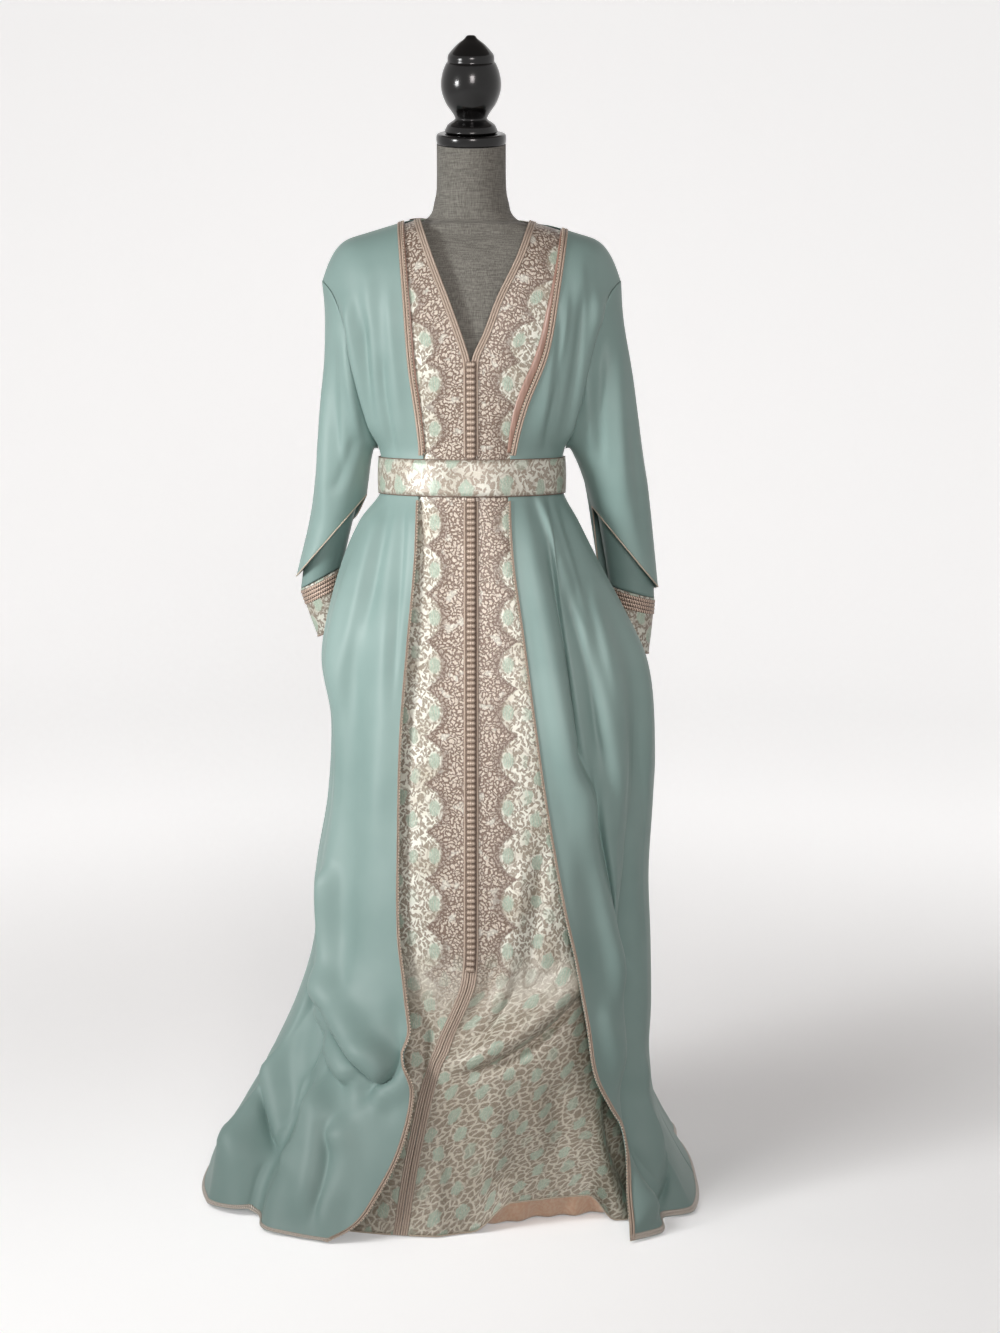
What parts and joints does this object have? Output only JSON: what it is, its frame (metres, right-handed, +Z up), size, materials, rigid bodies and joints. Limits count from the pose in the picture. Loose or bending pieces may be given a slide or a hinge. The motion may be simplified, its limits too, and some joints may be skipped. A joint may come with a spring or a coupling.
{
  "type": "moroccan kaftan on a limbless dress form",
  "caption": "Two-layer Moroccan kaftan: a buttoned brocade under-dress, an open sage over-robe with wide sleeves and a brocade belt, standing on a limbless dress form.",
  "frame": {"origin": "on the floor under the axis of the form's torso; the base disc is centred 40 mm behind it", "axes": "+Z up, the garment's front faces -Y, +X to the viewer's right"},
  "size_m": [0.7788, 0.6528, 1.7491],
  "materials": {
    "sage_crepe": "matte crepe with a soft sheen",
    "champagne_brocade": "woven brocade, satin ground",
    "rose_gold_braid": "silk and metal-thread braid",
    "rose_satin": "satin",
    "peach_satin": "satin",
    "grey_linen": "plain woven linen, matte",
    "black_lacquer": "gloss lacquer on turned wood",
    "painted_steel": "satin paint"
  },
  "bodies": {
    "root": {"belt": "champagne_brocade", "finial": "black_lacquer", "form_torso": "grey_linen", "neck_cap": "black_lacquer", "over_back": "sage_crepe", "over_braid_bodice_left": "rose_gold_braid", "over_braid_bodice_right": "rose_gold_braid", "over_braid_skirt_left": "rose_gold_braid", "over_braid_skirt_right": "rose_gold_braid", "over_facing_left": "rose_satin", "over_facing_right": "rose_satin", "over_front_left": "sage_crepe", "over_front_right": "sage_crepe", "over_hem_braid_back": "rose_gold_braid", "over_hem_braid_front_left": "rose_gold_braid", "over_hem_braid_front_right": "rose_gold_braid", "over_neck_braid": "rose_gold_braid", "over_sleeve_left": "sage_crepe", "over_sleeve_right": "sage_crepe", "stand_base": "painted_steel", "stand_pole": "painted_steel", "under_back": "champagne_brocade", "under_cuff_left": "champagne_brocade", "under_cuff_right": "champagne_brocade", "under_front_left": "champagne_brocade", "under_front_right": "champagne_brocade", "under_knots_bodice": "rose_gold_braid", "under_knots_skirt": "rose_gold_braid", "under_lining_front": "peach_satin", "under_sfifa_bodice_left": "rose_gold_braid", "under_sfifa_bodice_right": "rose_gold_braid", "under_sfifa_skirt_left": "rose_gold_braid", "under_sfifa_skirt_right": "rose_gold_braid", "under_sleeve_left": "sage_crepe", "under_sleeve_right": "sage_crepe"}
  },
  "joints": []
}
